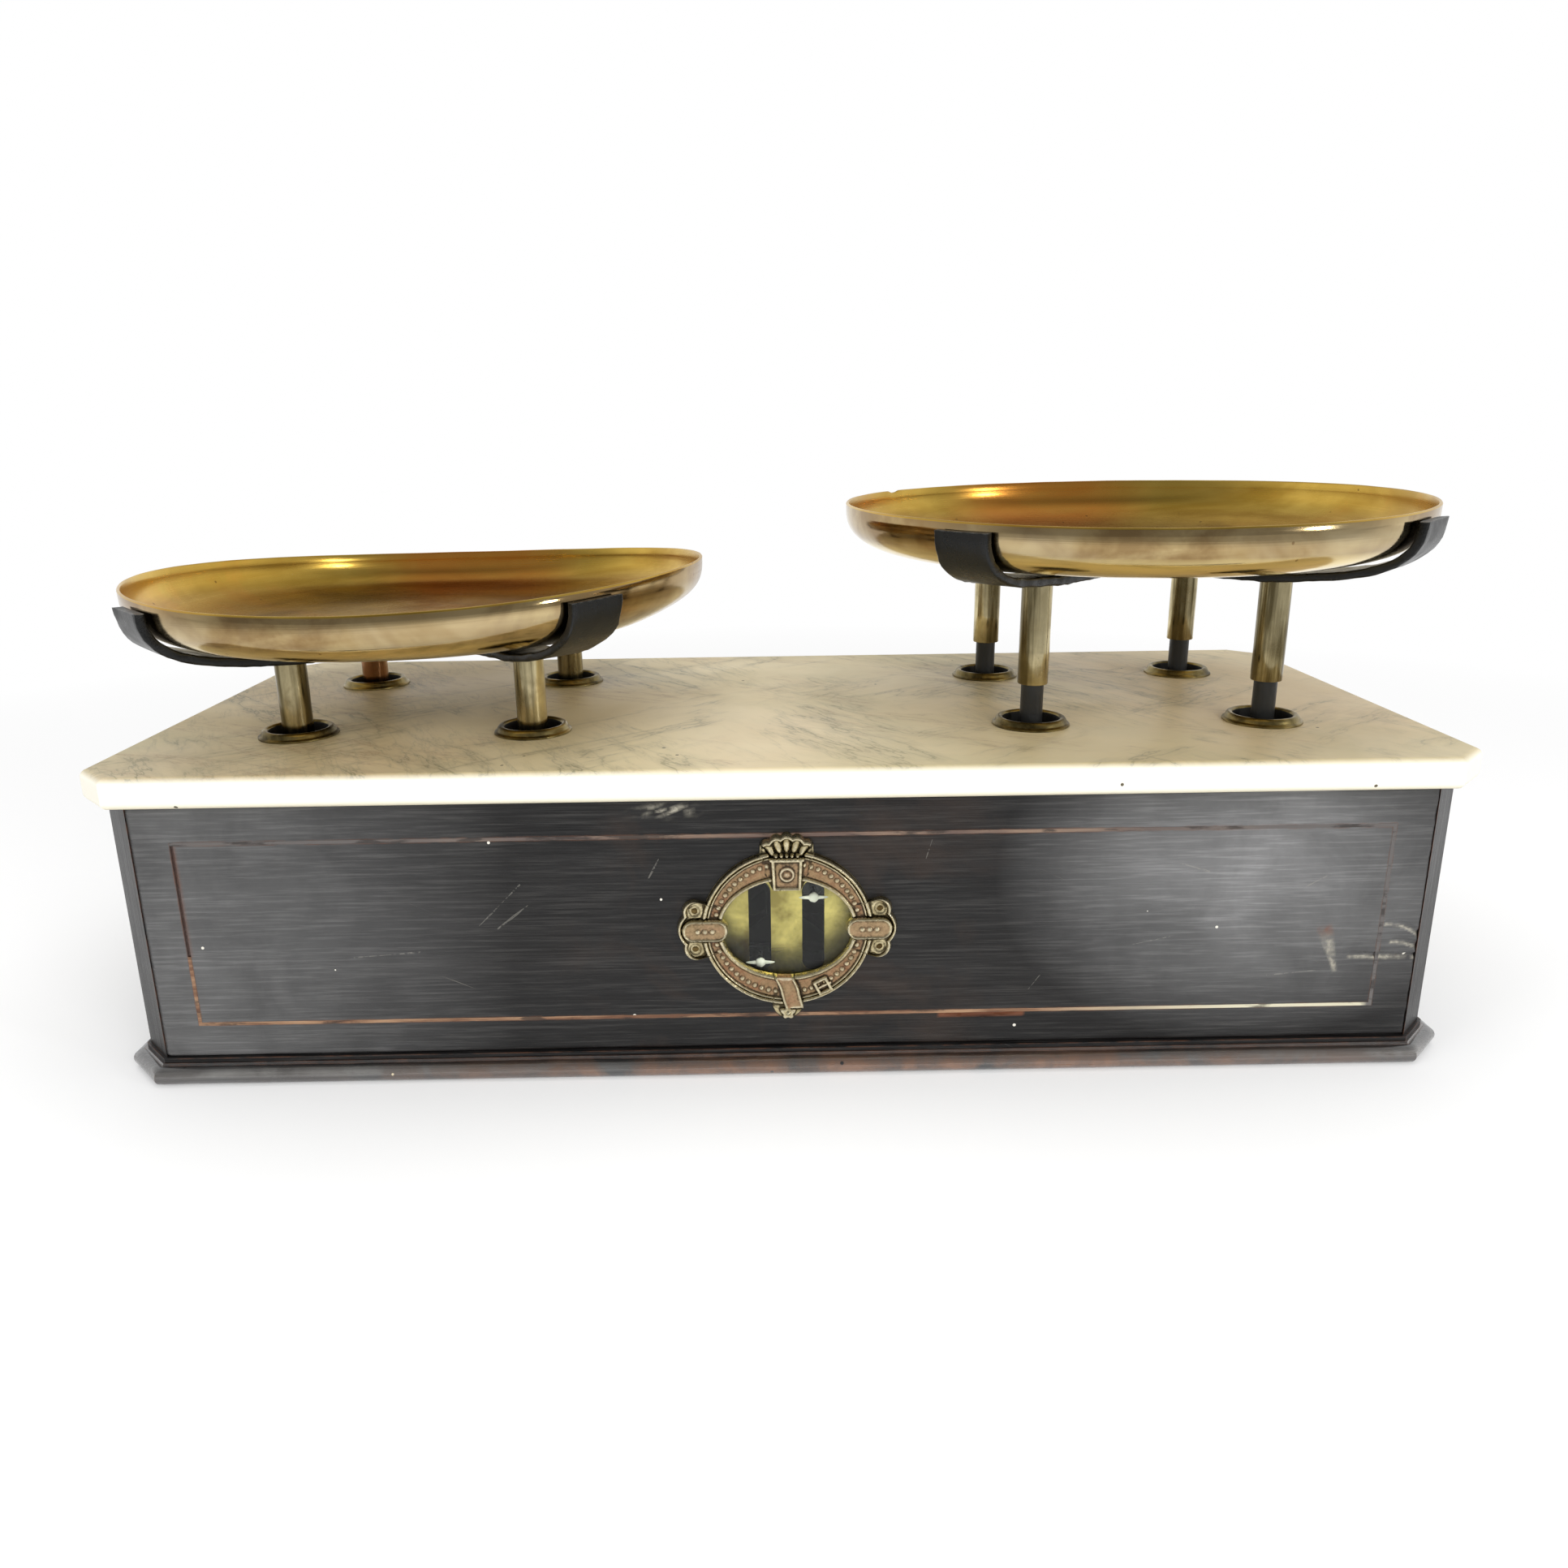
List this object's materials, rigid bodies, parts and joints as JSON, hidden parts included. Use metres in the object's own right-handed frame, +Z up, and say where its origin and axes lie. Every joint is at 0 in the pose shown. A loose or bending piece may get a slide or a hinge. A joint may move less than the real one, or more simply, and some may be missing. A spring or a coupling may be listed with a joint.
{
  "type": "counter scale",
  "caption": "Counter scale: two round brass pans on iron arms and posts over a marble-topped black wooden case, which holds the beam, side levers and pointers",
  "frame": {"origin": "on the surface that the scale stands on, under the middle of the case", "axes": "+X to the right along the case, +Y to the back, +Z up; the window is on the -Y side"},
  "size_m": [0.62, 0.275, 0.244],
  "materials": {
    "ebonised_wood": "ebonised and waxed, worn at the edges",
    "stringing": "inlaid string, dull",
    "marble": "honed white-grey marble with grey veins",
    "polished_brass": "polished, lightly scratched",
    "post_brass": "aged brass tube",
    "aged_brass": "dark aged brass",
    "index_brass": "stained brass sheet",
    "black_iron": "black painted iron",
    "mechanism_iron": "grey cast iron",
    "hard_steel": "ground steel",
    "lead": "dull lead",
    "pointer_white": "white enamel",
    "window_glass": "clear old glass"
  },
  "bodies": {
    "case": {"base_board": "ebonised_wood", "base_moulding": "ebonised_wood", "front_board": "ebonised_wood", "back_board": "ebonised_wood", "left_end_board": "ebonised_wood", "right_end_board": "ebonised_wood", "corner_posts": "ebonised_wood", "front_stringing": "stringing", "window_bezel": "aged_brass", "bezel_screws": "aged_brass", "window_glass": "window_glass", "index_plate": "index_brass", "index_screws": "hard_steel", "marble_top": "marble", "left_ferrules": "aged_brass", "right_ferrules": "aged_brass", "fulcrum_stand": "mechanism_iron", "fulcrum_bearings": "hard_steel", "left_lever_stand": "mechanism_iron", "right_lever_stand": "mechanism_iron", "lever_bearings": "hard_steel", "stand_screws": "hard_steel", "travel_stops": "black_iron"},
    "beam": {"main_beam": "mechanism_iron", "centre_knife": "hard_steel", "pan_knives": "hard_steel", "link_knives": "hard_steel", "tare_box": "index_brass", "tare_lead": "lead"},
    "left_carrier": {"left_pan_arms": "black_iron", "left_posts": "black_iron", "left_sleeves": "post_brass", "left_yoke": "mechanism_iron", "left_yoke_nuts": "hard_steel", "left_yoke_bearings": "hard_steel", "left_pointer_arm": "black_iron", "left_pointer": "pointer_white"},
    "left_lever": {"left_lever": "mechanism_iron", "left_lever_knives": "hard_steel"},
    "left_link": {"left_link": "hard_steel"},
    "left_pan": {"left_pan": "polished_brass"},
    "right_carrier": {"right_pan_arms": "black_iron", "right_posts": "black_iron", "right_sleeves": "post_brass", "right_yoke": "mechanism_iron", "right_yoke_nuts": "hard_steel", "right_yoke_bearings": "hard_steel", "right_pointer_arm": "black_iron", "right_pointer": "pointer_white"},
    "right_lever": {"right_lever": "mechanism_iron", "right_lever_knives": "hard_steel"},
    "right_link": {"right_link": "hard_steel"},
    "right_pan": {"right_pan": "polished_brass"}
  },
  "joints": [
    {"name": "beam_tilt", "type": "hinge", "parent": "case", "child": "beam", "pos_m": [0, 0, 0.086], "axis": [0, 1, 0], "range_deg": [0, 15.16]},
    {"name": "left_pan_travel", "type": "slide", "parent": "case", "child": "left_carrier", "axis": [0, 0, 1], "range_m": [0, 0.03102]},
    {"name": "left_lever_tilt", "type": "hinge", "parent": "case", "child": "left_lever", "pos_m": [-0.264, 0, 0.052], "axis": [0, 1, 0], "range_deg": [-28.05, 0]},
    {"name": "left_link_travel", "type": "slide", "parent": "case", "child": "left_link", "axis": [0, 0, 1], "range_m": [0, 0.04511]},
    {"name": "left_pan_lift", "type": "slide", "parent": "left_carrier", "child": "left_pan", "axis": [0, 0, 1], "range_m": [0, 0.06]},
    {"name": "right_pan_travel", "type": "slide", "parent": "case", "child": "right_carrier", "axis": [0, 0, 1], "range_m": [-0.03102, 0]},
    {"name": "right_lever_tilt", "type": "hinge", "parent": "case", "child": "right_lever", "pos_m": [0.264, 0, 0.052], "axis": [0, 1, 0], "range_deg": [-28.05, 0]},
    {"name": "right_link_travel", "type": "slide", "parent": "case", "child": "right_link", "axis": [0, 0, 1], "range_m": [-0.04511, 0]},
    {"name": "right_pan_lift", "type": "slide", "parent": "right_carrier", "child": "right_pan", "axis": [0, 0, 1], "range_m": [0, 0.06]}
  ],
  "couplings": [
    {"joint": "left_pan_travel", "follows": "beam_tilt", "m_per_rad": 0.11716},
    {"joint": "left_lever_tilt", "follows": "beam_tilt", "ratio": -1.849},
    {"joint": "left_link_travel", "follows": "beam_tilt", "m_per_rad": 0.17041},
    {"joint": "right_pan_travel", "follows": "beam_tilt", "m_per_rad": -0.11716},
    {"joint": "right_lever_tilt", "follows": "beam_tilt", "ratio": -1.849},
    {"joint": "right_link_travel", "follows": "beam_tilt", "m_per_rad": -0.17041}
  ]
}
